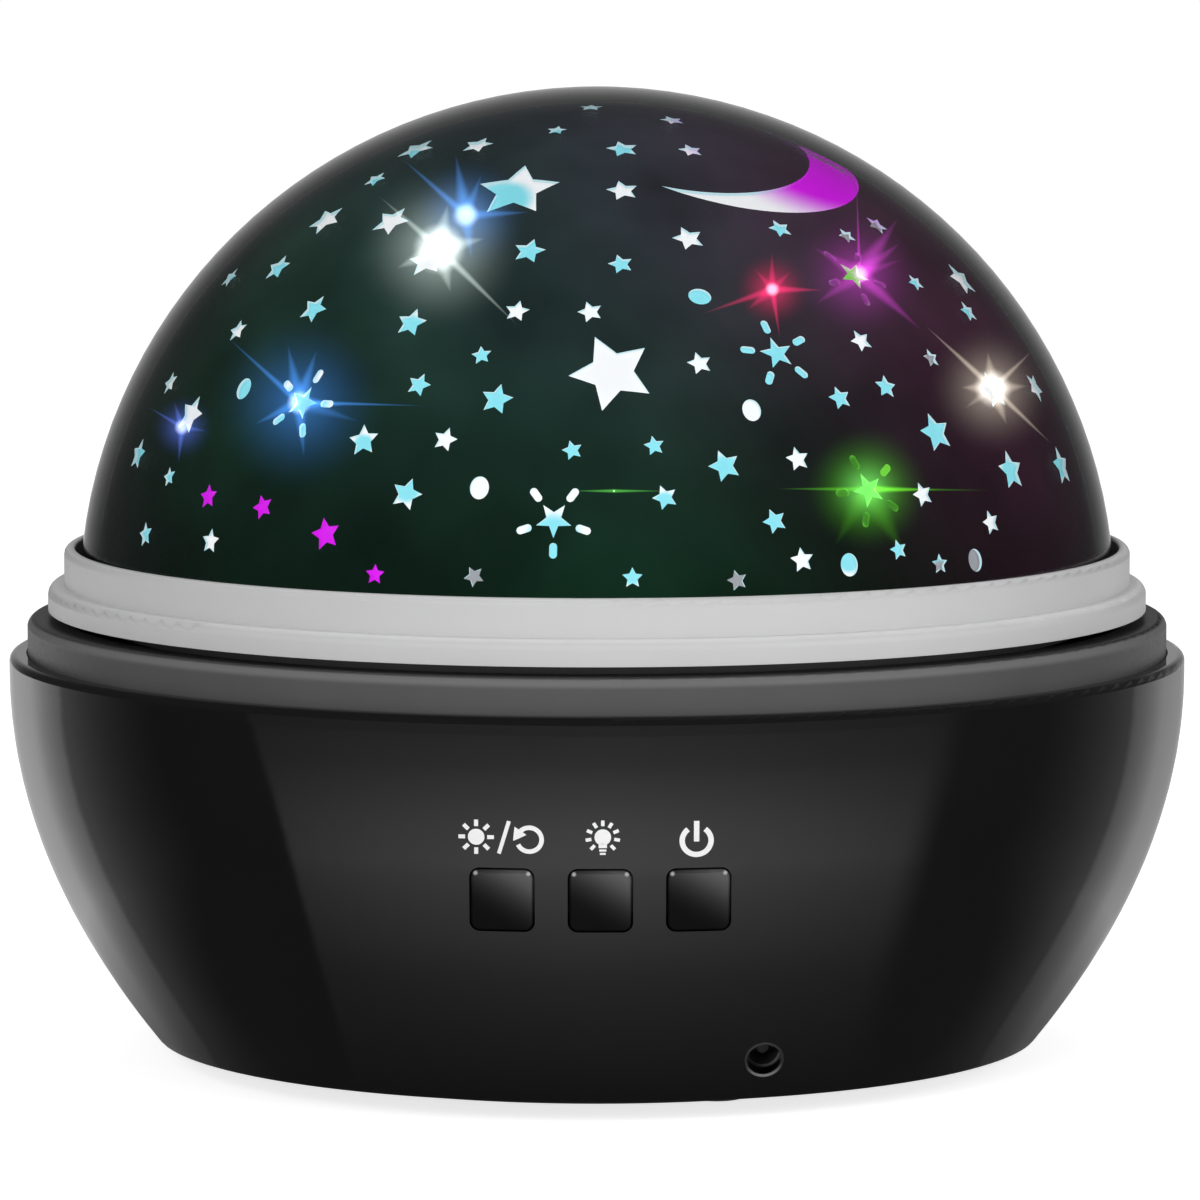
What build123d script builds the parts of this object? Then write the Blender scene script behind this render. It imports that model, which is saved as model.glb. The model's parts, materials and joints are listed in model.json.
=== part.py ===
"""Star projector lamp: millimetres, Z up, front towards -Y, feet on Z = 0, dome axis on X = Y = 0."""
import math
import os

from build123d import *

os.makedirs("parts", exist_ok=True)

# Fits shared by all pieces
overrun = 2.0
slip = 0.15
running = 0.05
press = 0.02

# Bowl
bowl_radius = 65.0
bowl_floor_radius = 48.8
bowl_height = 44.4
bowl_straight = 1.9
bowl_turn = 20.1
bowl_wall = 2.4
bowl_floor = 2.4
bowl_rim_round = 0.8
heel_width = 8.8
heel_rise = 1.6
bowl_heel_round = 0.6

# Feet
foot_radius = 3.2
foot_thickness = 1.6
foot_proud = 0.8
foot_circle = 33.4
foot_bearing = 22.5
foot_round = 0.4
foot_count = 4

# Cover with its deck
cover_inset = 2.0
cover_rise = 3.9
cover_wall = 4.4
cover_round = 1.0
cover_bore_round = 0.5
lap_depth = 1.5
deck_drop = 5.5
deck_thickness = 2.2
spigot_depth = 4.0
spigot_wall = 2.4
spigot_clear = 0.8

# Screw posts between bowl and cover
post_circle = 41.5
post_count = 4
post_bearing = 45
post_wall = 1.4
post_web = 2.0
boss_radius = 3.8
boss_length = 8.4
case_screw_radius = 1.5
case_screw_length = 9.0
case_head_radius = 2.8
case_head_height = 2.0
head_clear = 0.4
slot_width = 0.8
slot_depth = 0.6

# Buttons in the front of the bowl
button_drop = 19.4
button_pitch = 10.2
button_shift = 0.35
button_width = 6.4
button_height = 6.6
button_corner = 0.9
button_gap = 0.2
button_proud = 0.35
button_round = 0.3
button_flange = 1.0
button_flange_thickness = 1.2
button_flange_clear = 0.3
stem_radius = 1.6
stem_length = 0.8

# Switches and control board
switch_size = 6.0
switch_depth = 3.5
plunger_radius = 1.75
plunger_out = 1.5
plunger_in = 1.0
board_height = 20.0
board_thickness = 1.6
rail_wall = 2.0
rail_grip = 1.6
chip_width = 10.0
chip_height = 4.0
chip_depth = 1.8

# Power socket
socket_x = 17.6
socket_level = 6.3
socket_bore_radius = 1.75
socket_bore_depth = 8.5
socket_pin_radius = 0.65
socket_pin_length = 7.5
socket_width = 7.0
socket_height = 6.0
socket_length = 10.0
socket_clear = 0.3
socket_boss_wall = 1.6
socket_rib = 1.4
socket_rib_rise = 3.5

# Battery bay, cells and door
cell_radius = 5.25
cell_length = 44.5
cell_nub_radius = 1.9
cell_nub_height = 1.0
cell_gap = 0.4
cell_lift = 0.3
cell_count = 4
plate_thickness = 0.4
plate_width = 8.0
plate_height = 8.0
plate_tab_width = 3.0
plate_tab_rise = 2.5
leaf_room = 3.0
leaf_width = 5.0
leaf_thickness = 0.3
bay_wall = 1.6
door_thickness = 1.6
door_margin = 2.5
door_corner = 3.0
door_tab_radius = 4.5
door_boss_radius = 3.2
door_screw_radius = 1.25
door_screw_length = 7.0
door_head_radius = 2.4
door_head_height = 1.0
door_grip_length = 16.0
door_grip_width = 1.4
door_grip_pitch = 2.8
door_grip_depth = 0.5
door_grip_count = 4

# Gear motor under the deck
motor_radius = 14.0
motor_height = 19.0
motor_round = 0.8
motor_boss_radius = 4.5
motor_boss_height = 1.5
motor_block_width = 12.0
motor_block_depth = 1.5
motor_block_height = 10.0
shaft_offset = 8.0
shaft_radius = 2.5
shaft_depth = 5.5
ear_clear = 0.9
ear_radius = 3.5
ear_thickness = 0.8
motor_screw_radius = 1.3
motor_screw_length = 4.5
motor_head_radius = 2.6
motor_head_height = 1.6
motor_stud_radius = 3.0
motor_stud_rise = 1.8

# Gear pair
gear_module = 1.0
gear_teeth = 48
pinion_teeth = 16
gear_face = 3.3
gear_top_clear = 0.3
backlash = 0.2
pressure_angle = math.radians(20)
addendum_share = 1.0
dedendum_share = 1.25

# Light tower through the hub
tower_radius = 11.0
tower_wall = 2.2
tower_height = 14.4
tower_flange_radius = 14.0
tower_flange = 1.4
tower_spigot_radius = 10.0
lug_radius = 2.4
lug_height = 7.0
lug_bite = 0.55
washer_thickness = 0.6

# Lamp board and lamps
lamp_board_radius = 16.0
lamp_board_thickness = 1.6
lamp_screw_radius = 0.9
lamp_screw_length = 5.0
lamp_head_radius = 1.7
lamp_head_height = 1.0
led_circle = 9.5
led_radius = 2.5
led_height = 8.0
led_rim_radius = 2.9
led_rim = 1.0
led_bearing = 45

# Turntable
turntable_clear = 4.6
turntable_thickness = 2.0
hub_radius = 14.5
hub_rise = 2.0
rib_count = 8
rib_width = 1.6
rib_rise = 1.5
rib_bite = 1.8

# Turning ring
ring_gap = 0.9
ring_inset = 2.3
ring_flange_height = 2.8
ring_flange_round = 1.1
ring_step = 1.8
ring_collar_wall = 1.25
ring_height = 6.9
ring_collar_round = 0.8
ring_lip_round = 0.3
ring_web = 1.6
ring_web_reach = 6.5
ring_screw_inset = 3.8
ring_screw_count = 4
ring_boss_radius = 2.4
ring_boss_rise = 4.0
ring_screw_radius = 1.1
ring_screw_length = 6.5
ring_head_radius = 2.2
ring_head_height = 1.3

# Dome, star film and its windows
dome_rise = 0.1
dome_wall = 1.6
dome_fit = 0.35
film_gap = 0.2
film_thickness = 0.3
colour_thickness = 0.5

# Inner wiring
lead_radius = 1.0
lead_bend = 4.0
lead_rise = 4.0

# Radii that follow from the bowl
cover_radius = bowl_radius - cover_inset
cover_bore = cover_radius - cover_wall
turntable_radius = cover_bore - turntable_clear
ring_web_radius = turntable_radius - ring_web_reach
ring_screw_circle = turntable_radius - ring_screw_inset
ring_flange_radius = cover_radius - ring_inset
ring_collar_radius = ring_flange_radius - ring_step
dome_radius = ring_collar_radius - ring_collar_wall - dome_fit
film_radius = dome_radius - dome_wall - film_gap
film_inner = film_radius - film_thickness

# Motifs of the film, as shares of the dome's radius; stars are measured from centre to tip
tiny_share = 0.0193
small_share = 0.0237
medium_share = 0.0308
large_share = 0.0387
giant_share = 0.0791
burst_core_share = 0.0334
burst_gap_share = 0.0088
burst_ray_share = 0.0281
burst_ray_width_share = 0.0141
dot_width_share = 0.0351
dot_height_share = 0.0422
moon_share = 0.2742
moon_bite_share = 0.2496
star_points = 5
star_waist_share = 0.5
burst_waist_share = 0.42
crown_angle = 66
tiny = dome_radius * tiny_share
small = dome_radius * small_share
medium = dome_radius * medium_share
large = dome_radius * large_share
giant = dome_radius * giant_share
burst_core = dome_radius * burst_core_share
burst_gap = dome_radius * burst_gap_share
burst_ray = dome_radius * burst_ray_share
burst_ray_width = dome_radius * burst_ray_width_share
dot_width = dome_radius * dot_width_share
dot_height = dome_radius * dot_height_share
moon_radius = dome_radius * moon_share
moon_bite_radius = dome_radius * moon_bite_share

# Seen through the clear shell from the front, a window looks further out than it is
view_height = 6
window_draw_share = 0.957

# Places of the motifs as seen, in degrees: bearing from the front, height above the rim, then size and turn
stars = [
    (2, 33, giant, 22), (-19, 61, giant, 4), (6, 61, medium, 10), (-47, 71, medium, 0),
    (33, 70, small, 0), (60, 80, small, 0), (-170, 86, small, 0), (-44, 54, large, -12),
    (-64, 53, large, -20), (-30, 48, large, 14), (17, 52, medium, 14), (52, 51, tiny, 10),
    (65, 52, small, 20), (79, 42, large, 0), (40, 36, small, 16), (52, 33, tiny, 0),
    (63, 28, large, 0), (80, 27, medium, 30), (14, 34, small, 12), (-1, 41, small, 18),
    (-12, 41, small, -8), (-28, 39, medium, -6), (-62, 36, small, 20), (-75, 28, small, 24),
    (-63, 25, large, -10), (-30, 24, medium, 10), (-19, 24.5, small, -14), (-23, 18, medium, -16),
    (-51, 11, small, 0), (-14, 9, tiny, 30), (25, 22, small, 8), (8, 18, small, 20),
    (24, 10.5, small, 6), (16, 8.5, tiny, 14), (53, 13, small, 12), (42, 17, small, 14),
    (60, 18.5, large, 0), (-21, 77, tiny, 0), (9, 71, medium, 10), (-75, 68, large, 0),
    (-66, 61, small, 0), (-12, 50, medium, -10), (4, 48, small, 14), (37, 53, small, 8),
    (60, 43, tiny, 10), (70, 38, small, 0), (33, 29, small, 10), (41, 30, small, -10),
    (-47, 40, medium, -14), (-64, 45, medium, 10), (-82, 42, small, 0), (-24, 31, small, -16),
    (-16, 35, tiny, 12), (-13, 29.5, medium, -10), (-76, 19, medium, 0), (-63, 17.5, tiny, 20),
    (-66, 10.5, small, 16), (-3, 23.5, tiny, 16), (7, 24, tiny, 10), (15.5, 21.5, medium, 18),
    (21, 15, small, 20), (4, 9, tiny, 0), (37, 11, tiny, 12), (43, 9, tiny, 0),
    (47, 24, large, 8), (77, 17.5, large, 0), (-53, 16, small, 10), (-43, 15.5, small, 24),
    (-33, 13, medium, 16), (-26, 8.8, tiny, 0),
]
dots = [(20, 28, 0), (-14, 19, 0), (49, 9, 10), (16, 43, 80), (-53, 29, 8), (30, 9.7, 0)]
bursts = [(-5, 15.5, 180), (-41, 28, 200), (34, 18, 20), (25.5, 35, 8), (46, 45, 30)]
moon_place = (64, 74)
moon_bite_place = (50, 77.5)

# Heights of the stack
bowl_bottom = foot_proud
bowl_rim = bowl_bottom + bowl_height
heel_level = bowl_bottom + heel_rise
floor_top = bowl_bottom + bowl_floor
lap_level = bowl_rim - lap_depth
cover_top = bowl_rim + cover_rise
deck_top = cover_top - deck_drop
deck_under = deck_top - deck_thickness
spigot_end = lap_level - spigot_depth
post_top = deck_under - boss_length
ring_bottom = cover_top + ring_gap
ring_top = ring_bottom + ring_height
web_top = ring_bottom + ring_web
turntable_under = ring_bottom - turntable_thickness
tower_top = deck_top + tower_height
washer_level = deck_top + tower_flange
hub_bottom = washer_level + washer_thickness
gear_bottom = turntable_under - gear_face
dome_centre = ring_bottom + dome_rise

# Sizes that follow from the fits
spigot_radius = bowl_radius - bowl_wall - spigot_clear
spigot_bore = spigot_radius - spigot_wall
well_radius = case_head_radius + head_clear
post_radius = well_radius + post_wall
tower_bore = tower_radius - tower_wall
lug_offset = tower_bore - lug_radius + lug_bite
lug_xs = (-lug_offset, lug_offset)
axle_distance = gear_module * (gear_teeth + pinion_teeth) / 2
motor_y = axle_distance - shaft_offset
ear_reach = motor_radius + motor_head_radius + ear_clear
motor_side = motor_radius + motor_block_depth


def spun(*corners):
    """Solid of revolution about Z from corners (radius, height) or (radius, height, rounding)."""
    face = make_face(Polyline(*[corner[:2] for corner in corners], close=True))
    for corner in corners:
        if len(corner) > 2:
            face = fillet(face.vertices().sort_by_distance((corner[0], corner[1], 0))[0], corner[2])
    return revolve(Plane.XZ * face, Axis.Z)


def upright(radius, low, high, x=0, y=0):
    """Round bar standing between two heights."""
    bar = Cylinder(radius, high - low, align=(Align.CENTER, Align.CENTER, Align.MIN))
    return Pos(x, y, low) * bar


def block(x, y, z):
    """Box between the two limits given for each axis."""
    size = [limits[1] - limits[0] for limits in (x, y, z)]
    return Pos(x[0], y[0], z[0]) * Box(*size, align=(Align.MIN, Align.MIN, Align.MIN))


def along_y(face, front, back):
    """Sketch drawn in X and Z, drawn out between two places along Y."""
    return extrude(Plane.XZ.offset(-back) * face, back - front)


def around(count, radius, bearing=0):
    """Places evenly spaced on a circle, as (x, y)."""
    for index in range(count):
        angle = math.radians(bearing) + 2 * math.pi * index / count
        yield radius * math.cos(angle), radius * math.sin(angle)


def group(pieces):
    """Separate solids kept together under one name."""
    return Compound(children=[solid for piece in pieces for solid in piece.solids()])


def screw(radius, length, head_radius, head_height):
    """Cheese-head screw standing on its head's underside at Z = 0, pointing up, with a driver slot."""
    head = upright(head_radius, -head_height, 0)
    drive = Box(2 * head_radius + overrun, slot_width, slot_depth)
    head -= Pos(0, 0, slot_depth / 2 - head_height) * drive
    return head + upright(radius, -slot_depth / 2, length)


# Bowl surfaces: a quadratic curve from the upright band at the rim down to the floor
heel_slope = (bowl_radius - bowl_floor_radius) / bowl_turn
curve_top = bowl_rim - bowl_straight


def curve_radius(z, top_radius, low_radius, top, turn, low):
    """Radius at height z of the curve that starts upright at the top and ends at the low point."""
    if z >= top:
        return top_radius
    square = top - 2 * turn + low
    linear = 2 * (turn - top)
    rest = top - z
    share = 2 * rest / (-linear + math.sqrt(linear**2 - 4 * square * rest))
    return top_radius * (1 - share**2) + low_radius * share**2


def outer_radius(z):
    return curve_radius(z, bowl_radius, bowl_floor_radius, curve_top, heel_level + bowl_turn, heel_level)


inner_top_radius = bowl_radius - bowl_wall
inner_floor_radius = outer_radius(floor_top) - bowl_wall * math.hypot(1, heel_slope)
inner_turn = floor_top + (inner_top_radius - inner_floor_radius) / heel_slope


def inner_radius(z):
    return curve_radius(z, inner_top_radius, inner_floor_radius, curve_top, inner_turn, floor_top)


def bowl_form(top_radius, turn, high, *foot):
    """Solid bowl body up to a height, with its curve coming down to the first corner of its foot."""
    curve = Bezier((top_radius, curve_top), (top_radius, turn), foot[0])
    rest = Polyline(*foot, (0, foot[-1][1]), (0, high), (top_radius, high), (top_radius, curve_top))
    return revolve(Plane.XZ * make_face(curve.edges() + rest.edges()), Axis.Z)


def outer_form(grow=0.0):
    """The bowl's outer body, grown sideways where something stands proud of it."""
    heel = (bowl_floor_radius + grow, heel_level)
    bottom = (bowl_floor_radius - heel_width + grow, bowl_bottom)
    return bowl_form(bowl_radius + grow, heel_level + bowl_turn, bowl_rim, heel, bottom)


# Places of what looks out of the bowl's front
button_z = bowl_rim - button_drop
button_xs = [button_shift + step * button_pitch for step in (-1, 0, 1)]
flange_width = button_width + 2 * button_flange
flange_height = button_height + 2 * button_flange
flange_low = button_z - flange_height / 2
flange_far = max(abs(x) for x in button_xs) + flange_width / 2
flange_front = -math.sqrt(inner_radius(flange_low) ** 2 - flange_far**2) + button_flange_clear
flange_back = flange_front + button_flange_thickness
stem_back = flange_back + stem_length
switch_front = stem_back + plunger_out
board_front = switch_front + switch_depth
board_back = board_front + board_thickness
board_low = button_z - board_height / 2
board_high = button_z + board_height / 2
socket_z = bowl_bottom + socket_level
socket_low = socket_z - socket_height / 2
socket_far = socket_x + socket_width / 2
board_width = 2 * (socket_far + socket_rib + rail_grip)
socket_front = -math.sqrt(inner_radius(socket_low) ** 2 - socket_far**2) + socket_clear
socket_back = socket_front + socket_length

# Battery bay limits
cell_pitch = 2 * cell_radius + cell_gap
bay_length = cell_length + 2 * plate_thickness + leaf_room
bay_width = cell_count * cell_pitch + cell_gap
cell_z = bowl_bottom + door_thickness + cell_lift + cell_radius
bay_roof = cell_z + cell_radius + cell_lift
bay_top = bay_roof + bay_wall
cell_ys = [(index - (cell_count - 1) / 2) * cell_pitch for index in range(cell_count)]
door_screw_x = bay_length / 2 + bay_wall / 2 + door_boss_radius
door_screw_places = [(-door_screw_x, 0), (door_screw_x, 0)]
door_screw_tip = bowl_bottom + door_head_height + door_screw_length + slip
post_places = list(around(post_count, post_circle, post_bearing))
ring_places = list(around(ring_screw_count, ring_screw_circle, post_bearing))
terminal_ys = (cell_ys[0], cell_ys[-1])


def door_outline(grow=0.0):
    """Door plate with a round screw tab at each end, seen from above."""
    length = bay_length + 2 * door_margin
    width = bay_width + 2 * door_margin
    face = RectangleRounded(length + 2 * grow, width + 2 * grow, door_corner + grow)
    for x, y in door_screw_places:
        face += Pos(x, y) * Circle(door_tab_radius + grow)
        face += Pos(x / 2, y) * Rectangle(abs(x), 2 * (door_tab_radius + grow))
    return face


def button_face(x, grow=0.0):
    """Outline of a button cap, or of its opening when grown, seen from the front."""
    face = RectangleRounded(button_width + 2 * grow, button_height + 2 * grow, button_corner + grow)
    return Pos(x, button_z) * face


def make_bowl():
    outside = outer_form()
    heel = outside.edges().filter_by(GeomType.CIRCLE).sort_by(Axis.Z)[1]
    outside = fillet(heel, bowl_heel_round)
    outside = fillet(outside.edges().group_by(Axis.Z)[-1], bowl_rim_round)
    inside = bowl_form(inner_top_radius, inner_turn, bowl_rim + overrun, (inner_floor_radius, floor_top))
    bowl = outside - inside
    bowl -= upright(cover_radius + slip, lap_level, bowl_rim + overrun)

    # Moulded features stand on the floor and grow into the wall
    features = [upright(post_radius, bowl_bottom, post_top, x, y) for x, y in post_places]
    half_length = bay_length / 2 + bay_wall
    half_width = bay_width / 2 + bay_wall
    bay = block((-half_length, half_length), (-half_width, half_width), (bowl_bottom, bay_top))
    features.append(bay)
    for x, y in door_screw_places:
        features.append(upright(door_boss_radius, bowl_bottom, door_screw_tip + bay_wall, x, y))
    for side in (-1, 1):
        edge = side * board_width / 2
        across = sorted((edge - side * rail_grip, edge + side * rail_wall))
        deep = (board_front - rail_wall, board_back + rail_wall)
        features.append(block(across, deep, (bowl_bottom, board_high)))
    features += [socket_cradle(), socket_boss()]
    for feature in features:
        bowl += feature & outside

    # Openings
    cuts = [upright(well_radius, bowl_bottom - overrun, post_top - post_web, x, y) for x, y in post_places]
    cuts += [upright(case_screw_radius + slip, bowl_bottom, post_top + overrun, x, y) for x, y in post_places]
    long = (-bay_length / 2, bay_length / 2)
    wide = (-bay_width / 2, bay_width / 2)
    cuts.append(block(long, wide, (bowl_bottom - overrun, bay_roof)))
    cuts.append(Pos(0, 0, bowl_bottom - overrun) * extrude(door_outline(slip), door_thickness + overrun))
    for x, y in door_screw_places:
        cuts.append(upright(door_screw_radius + slip, bowl_bottom, door_screw_tip, x, y))
    for y in terminal_ys:
        cuts.append(plate_tab(y, bay_roof - overrun, bay_top + overrun, slip))
    slot_x = board_width / 2 + slip
    slot_z = (board_low, board_high + overrun)
    cuts.append(block((-slot_x, slot_x), (board_front - slip, board_back + slip), slot_z))
    for x in button_xs:
        cuts.append(along_y(button_face(x, button_gap), -bowl_radius - overrun, flange_front))
    hole = Pos(socket_x, socket_z) * Circle(socket_bore_radius + slip)
    cuts.append(along_y(hole, -bowl_radius, socket_front + overrun))
    recess = foot_thickness - foot_proud
    for x, y in around(foot_count, foot_circle, foot_bearing):
        cuts.append(upright(foot_radius + slip, bowl_bottom - overrun, bowl_bottom + recess, x, y))
    return bowl - cuts


def socket_cradle():
    """Block under the power socket with a rib at each side."""
    base = (socket_front, socket_back)
    half = socket_width / 2
    across = (socket_x - half - socket_rib, socket_x + half + socket_rib)
    cradle = block(across, base, (bowl_bottom, socket_low))
    for side in (-1, 1):
        edges = sorted((socket_x + side * (half + slip), socket_x + side * (half + socket_rib)))
        cradle += block(edges, base, (bowl_bottom, socket_low + socket_rib_rise))
    return cradle


def socket_boss():
    """Round pad on the wall that the socket's face stands against."""
    pad = Pos(socket_x, socket_z) * Circle(socket_bore_radius + slip + socket_boss_wall)
    return along_y(pad, -bowl_radius, socket_front)


def plate_tab(y, low, high, grow=0.0):
    """Terminal tab of the end plate at the -X end of one cell."""
    face = -bay_length / 2
    half = plate_tab_width / 2 + grow
    return block((face - grow, face + plate_thickness + grow), (y - half, y + half), (low, high))


def make_cover():
    cover = spun(
        (cover_radius, lap_level),
        (cover_radius, cover_top, cover_round),
        (cover_bore, cover_top, cover_bore_round),
        (cover_bore, deck_top),
        (tower_spigot_radius + slip, deck_top),
        (tower_spigot_radius + slip, deck_under),
        (spigot_bore, deck_under),
        (spigot_bore, spigot_end),
        (spigot_radius, spigot_end),
        (spigot_radius, lap_level),
    )
    for x, y in post_places:
        cover += upright(boss_radius, post_top, deck_under + deck_thickness / 2, x, y)
    for x in (-ear_reach, ear_reach):
        cover += upright(motor_stud_radius, deck_under, deck_top + motor_stud_rise, x, motor_y)
    cuts = [upright(motor_boss_radius + slip, deck_under - overrun, deck_top + overrun, 0, axle_distance)]
    screw_top = post_top + case_screw_length - post_web + slip
    for x, y in post_places:
        cuts.append(upright(case_screw_radius + press, post_top - overrun, screw_top, x, y))
    for x in (-ear_reach, ear_reach):
        tip = deck_under - ear_thickness + motor_screw_length + slip
        cuts.append(upright(motor_screw_radius + press, deck_under - overrun, tip, x, motor_y))
    return cover - cuts


def make_door():
    door = Pos(0, 0, bowl_bottom) * extrude(door_outline(), door_thickness)
    cuts = []
    for x, y in door_screw_places:
        head = door_head_radius + slip
        hole = door_screw_radius + press
        cuts.append(upright(head, bowl_bottom - overrun, bowl_bottom + door_head_height, x, y))
        cuts.append(upright(hole, bowl_bottom, bowl_bottom + door_thickness + overrun, x, y))
    for index in range(door_grip_count):
        x = (index - (door_grip_count - 1) / 2) * door_grip_pitch
        groove = Pos(x, 0) * SlotOverall(door_grip_length, door_grip_width, rotation=90)
        cuts.append(Pos(0, 0, bowl_bottom - overrun) * extrude(groove, door_grip_depth + overrun))
    return door - cuts


def make_cells():
    """Four cells side by side, every other one turned round, each standing against its plus plate."""
    cells = []
    for index, y in enumerate(cell_ys):
        sign = 1 if index % 2 == 0 else -1
        body = upright(cell_radius, cell_nub_height - cell_length, 0)
        nub = upright(cell_nub_radius, 0, cell_nub_height)
        plus_face = bay_length / 2 - plate_thickness - cell_nub_height
        cells.append(Pos(sign * plus_face, y, cell_z) * Rot(0, sign * 90, 0) * (body + nub))
    return group(cells)


def make_plates():
    """End plates: two links at +X, one link and two terminals with tabs at -X."""
    half = plate_width / 2
    low = cell_z - plate_height / 2
    high = cell_z + plate_height / 2
    face = bay_length / 2
    plates = []
    for first, second in ((0, 1), (2, 3)):
        span = (cell_ys[first] - half, cell_ys[second] + half)
        plates.append(block((face - plate_thickness, face), span, (low, high)))
    plates.append(block((-face, plate_thickness - face), (cell_ys[1] - half, cell_ys[2] + half), (low, high)))
    for y in terminal_ys:
        terminal = block((-face, plate_thickness - face), (y - half, y + half), (low, high))
        plates.append(terminal + plate_tab(y, cell_z, bay_top + plate_tab_rise))
    return group(plates)


def make_leaves():
    """Bent leaf at the minus end of each cell, from its plate to the cell's flat end."""
    foot = plate_height / 2
    tip = leaf_thickness
    bend = [(leaf_room, tip), (leaf_room, -tip)]
    bent = make_face(Polyline((0, -foot), (0, foot), (tip, foot), *bend, (tip, -foot), close=True))
    hollow = make_face(Polyline((0, 2 * tip - foot), (0, foot - 2 * tip), (leaf_room - tip, 0), close=True))
    leaves = []
    for index, y in enumerate(cell_ys):
        leaf = extrude(Plane.XZ * (bent - hollow), leaf_width / 2, both=True)
        sign = -1 if index % 2 == 0 else 1
        leaf = leaf if sign < 0 else Rot(0, 0, 180) * leaf
        leaves.append(Pos(sign * (bay_length / 2 - plate_thickness), y, cell_z) * leaf)
    return group(leaves)


def make_button(x):
    """Cap that follows the bowl's surface, with a retaining flange and a stem behind it."""
    cap = along_y(button_face(x), -bowl_radius - overrun, flange_back) & outer_form(button_proud)
    front = cap.faces().sort_by(Axis.Y)[0]
    cap = fillet(front.edges(), button_round)
    cap += along_y(Pos(x, button_z) * Rectangle(flange_width, flange_height), flange_front, flange_back)
    return cap + along_y(Pos(x, button_z) * Circle(stem_radius), flange_front, stem_back)


def make_plunger(x):
    return along_y(Pos(x, button_z) * Circle(plunger_radius), stem_back, switch_front + plunger_in)


def make_switches():
    """Three switch bodies with the bore their plungers slide in."""
    bodies = []
    for x in button_xs:
        body = along_y(Pos(x, button_z) * Rectangle(switch_size, switch_size), switch_front, board_front)
        bore = Pos(x, button_z) * Circle(plunger_radius + running)
        bodies.append(body - along_y(bore, switch_front - overrun, switch_front + plunger_in + stem_length))
    return group(bodies)


def make_board():
    return block((-board_width / 2, board_width / 2), (board_front, board_back), (board_low, board_high))


def make_chip():
    x = button_xs[0]
    half = chip_height / 2
    depth = (board_back, board_back + chip_depth)
    return block((x - chip_width / 2, x + chip_width / 2), depth, (button_z - half, button_z + half))


def make_socket():
    half = socket_width / 2
    tall = (socket_low, socket_low + socket_height)
    body = block((socket_x - half, socket_x + half), (socket_front, socket_back), tall)
    bore = Pos(socket_x, socket_z) * Circle(socket_bore_radius)
    return body - along_y(bore, socket_front - overrun, socket_front + socket_bore_depth)


def make_socket_pin():
    end = socket_front + socket_bore_depth
    return along_y(Pos(socket_x, socket_z) * Circle(socket_pin_radius), end - socket_pin_length, end)


def make_motor():
    can = upright(motor_radius, deck_under - motor_height, deck_under, 0, motor_y)
    can = fillet(can.edges().group_by(Axis.Z)[0], motor_round)
    for x in (-ear_reach, ear_reach):
        ear = Pos(x, motor_y) * Circle(ear_radius) + Pos(x / 2, motor_y) * Rectangle(abs(x), 2 * ear_radius)
        ear -= Pos(x, motor_y) * Circle(motor_screw_radius + press)
        can += Pos(0, 0, deck_under - ear_thickness) * extrude(ear, ear_thickness)
    boss_top = deck_under + motor_boss_height
    can += upright(motor_boss_radius, deck_under - ear_thickness, boss_top, 0, axle_distance)
    middle = deck_under - motor_height / 2
    tall = (middle - motor_block_height / 2, middle + motor_block_height / 2)
    half = motor_block_width / 2
    can += block((-motor_side, 0), (motor_y - half, motor_y + half), tall)
    return can - upright(shaft_radius + running, deck_under - shaft_depth, deck_top, 0, axle_distance)


def make_shaft():
    low = deck_under - shaft_depth + running
    return upright(shaft_radius, low, turntable_under - gear_top_clear, 0, axle_distance)


def gear_outline(teeth):
    """Involute spur gear drawn flat, first tooth on +X, thinned by its half of the backlash."""
    pitch = gear_module * teeth / 2
    tip = pitch + addendum_share * gear_module
    root = pitch - dedendum_share * gear_module
    base = pitch * math.cos(pressure_angle)
    start = max(root, base)
    half = (math.pi * gear_module / 2 - backlash / 2) / (2 * pitch)

    def roll(radius):
        tilt = math.acos(min(1, base / radius))
        return math.tan(tilt) - tilt

    def at(radius, angle):
        return radius * math.cos(angle), radius * math.sin(angle)

    def flank(radius):
        return half + roll(pitch) - roll(radius)

    edges = []
    step = 2 * math.pi / teeth
    for tooth in range(teeth):
        middle = tooth * step
        radii = (start, (start + tip) / 2, tip)
        rise = [at(radius, middle - flank(radius)) for radius in radii]
        fall = [at(radius, middle + flank(radius)) for radius in reversed(radii)]
        foot_in = at(root, middle - flank(start))
        foot_out = at(root, middle + flank(start))
        if root < base:
            edges += [Line(foot_in, rise[0]), Line(fall[-1], foot_out)]
        else:
            foot_in, foot_out = rise[0], fall[-1]
        crest = ThreePointArc(rise[-1], at(tip, middle), fall[0])
        edges += [ThreePointArc(*rise), crest, ThreePointArc(*fall)]
        next_foot = at(min(root, start), middle + step - flank(start))
        edges.append(ThreePointArc(foot_out, at(root, middle + step / 2), next_foot))
    return make_face(edges)


def make_gear():
    face = Rot(0, 0, 90) * gear_outline(gear_teeth) - Circle(hub_radius + press)
    return Pos(0, 0, gear_bottom) * extrude(face, gear_face)


def make_pinion():
    face = Rot(0, 0, 180 / pinion_teeth - 90) * gear_outline(pinion_teeth) - Circle(shaft_radius + press)
    return Pos(0, axle_distance, gear_bottom) * extrude(face, gear_face - gear_top_clear)


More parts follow.
